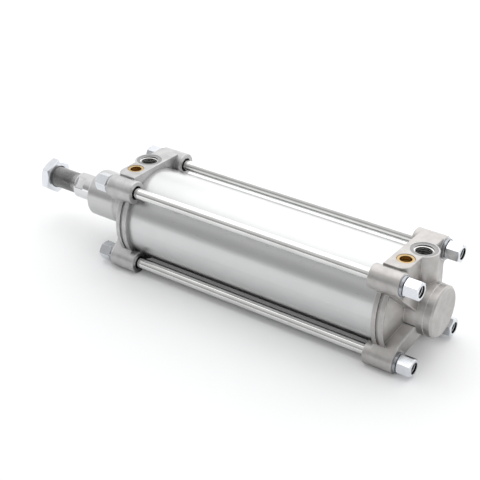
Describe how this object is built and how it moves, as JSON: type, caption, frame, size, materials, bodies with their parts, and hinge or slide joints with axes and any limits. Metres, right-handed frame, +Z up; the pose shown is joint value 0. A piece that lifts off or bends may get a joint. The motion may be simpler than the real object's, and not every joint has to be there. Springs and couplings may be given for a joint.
{
  "type": "pneumatic cylinder",
  "caption": "Double-acting tie-rod air cylinder with cushioned cast end covers, side-set ports on top, a chromed piston rod with wrench flats and a threaded end with a lock nut.",
  "frame": {"origin": "On the cylinder axis, in the rear mounting plane, where the four rear tie-rod nuts end.", "axes": "+X runs along the cylinder towards the rod end, +Z points up out of the ports, +Y points to the side of the cushion needles."},
  "size_m": [0.4325, 0.093, 0.094],
  "materials": {
    "cast_aluminium": "die cast, blasted, satin",
    "tube": "clear anodised, matte satin, hard inside",
    "tie_rod_steel": "bright drawn bar",
    "zinc_steel": "zinc plated, bright",
    "rod_chrome": "hard chromed and polished",
    "brass": "turned, bright",
    "needle_brass": "turned, dull",
    "static_rubber": "nitrile, black",
    "seal_elastomer": "polyurethane, dark",
    "bush_bronze": "sintered bronze, oiled",
    "piston_aluminium": "turned",
    "magnet": "plastic-bonded ferrite",
    "wear_ring": "filled plastic"
  },
  "bodies": {
    "housing": {"barrel_tube": "tube", "rear_cover": "cast_aluminium", "front_cover": "cast_aluminium", "tie_rod_near_top": "tie_rod_steel", "tie_rod_far_top": "tie_rod_steel", "tie_rod_far_bottom": "tie_rod_steel", "tie_rod_near_bottom": "tie_rod_steel", "rear_tie_rod_nuts": "zinc_steel", "front_tie_rod_nuts": "zinc_steel", "rear_tie_rod_washers": "zinc_steel", "front_tie_rod_washers": "zinc_steel", "rear_tube_o_ring": "static_rubber", "front_tube_o_ring": "static_rubber", "rear_cushion_seal": "seal_elastomer", "front_cushion_seal": "seal_elastomer", "rear_needle_collar": "brass", "front_needle_collar": "brass", "rod_guide_bush": "bush_bronze", "rod_seal": "seal_elastomer", "rod_wiper": "seal_elastomer"},
    "running_seals": {"piston_rear_seal": "seal_elastomer", "piston_front_seal": "seal_elastomer", "piston_wear_ring": "wear_ring"},
    "rod_and_piston": {"piston_rod": "rod_chrome", "piston_rear_half": "piston_aluminium", "piston_front_half": "piston_aluminium", "piston_magnet": "magnet", "piston_seat_o_ring": "static_rubber", "front_cushion_sleeve": "piston_aluminium", "rear_cushion_spigot": "piston_aluminium"},
    "rod_end_nut": {"rod_nut": "zinc_steel"},
    "rear_needle_ring": {"rear_needle_o_ring": "static_rubber"},
    "rear_needle": {"rear_cushion_needle": "needle_brass"},
    "front_needle_ring": {"front_needle_o_ring": "static_rubber"},
    "front_needle": {"front_cushion_needle": "needle_brass"}
  },
  "joints": [
    {"name": "rod_slide", "type": "slide", "parent": "housing", "child": "running_seals", "axis": [1, 0, 0], "range_m": [-0.014, 0.186]},
    {"name": "rod_turn", "type": "hinge", "parent": "running_seals", "child": "rod_and_piston", "pos_m": [0.078, 0, 0], "axis": [1, 0, 0], "continuous": true},
    {"name": "rod_nut_travel", "type": "slide", "parent": "rod_and_piston", "child": "rod_end_nut", "axis": [1, 0, 0], "range_m": [-0.029, 0]},
    {"name": "rear_needle_travel", "type": "slide", "parent": "housing", "child": "rear_needle_ring", "axis": [0, 0, 1], "range_m": [-0.0025, 0.0025]},
    {"name": "rear_needle_turn", "type": "hinge", "parent": "rear_needle_ring", "child": "rear_needle", "pos_m": [0.0255, 0.0155, 0.04], "axis": [0, 0, 1], "range_deg": [-936, 936]},
    {"name": "front_needle_travel", "type": "slide", "parent": "housing", "child": "front_needle_ring", "axis": [0, 0, 1], "range_m": [-0.0025, 0.0025]},
    {"name": "front_needle_turn", "type": "hinge", "parent": "front_needle_ring", "child": "front_needle", "pos_m": [0.3025, 0.0155, 0.04], "axis": [0, 0, 1], "range_deg": [-936, 936]}
  ],
  "couplings": [
    {"joint": "rear_needle_turn", "follows": "rear_needle_travel", "rad_per_m": 6283.2},
    {"joint": "front_needle_turn", "follows": "front_needle_travel", "rad_per_m": 6283.2}
  ]
}
